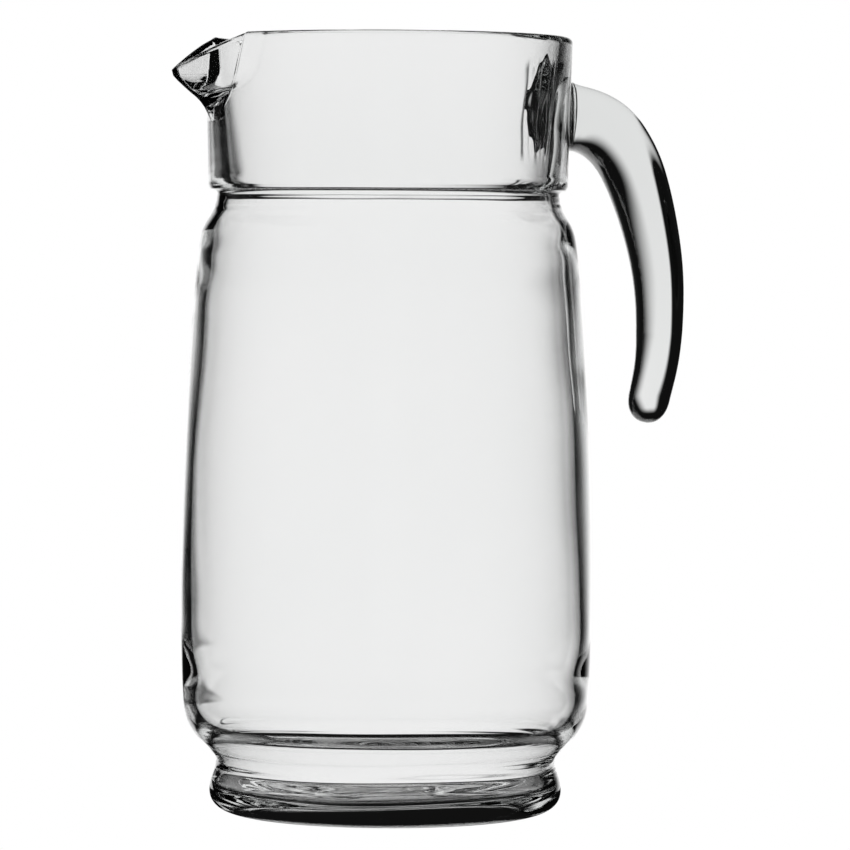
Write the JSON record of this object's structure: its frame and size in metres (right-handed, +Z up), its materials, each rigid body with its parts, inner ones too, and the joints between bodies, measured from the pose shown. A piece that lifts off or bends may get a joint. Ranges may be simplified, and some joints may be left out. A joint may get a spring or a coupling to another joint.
{
  "type": "glass water jug",
  "caption": "Clear glass water jug with a folded pouring lip, a waisted foot and a solid glass handle left open at its lower end.",
  "frame": {"origin": "centre of the bearing ring under the foot, on the axis of the vessel", "axes": "+Z up along the axis of the vessel to the mouth, +X towards the handle, -X towards the pouring lip"},
  "size_m": [0.1696, 0.1324, 0.25],
  "materials": {
    "vessel_glass": "clear soda-lime glass, fire polished, slightly uneven wall",
    "handle_glass": "clear solid soda-lime glass rod, fire polished"
  },
  "bodies": {
    "root": {"vessel": "vessel_glass", "handle": "handle_glass"}
  },
  "joints": []
}
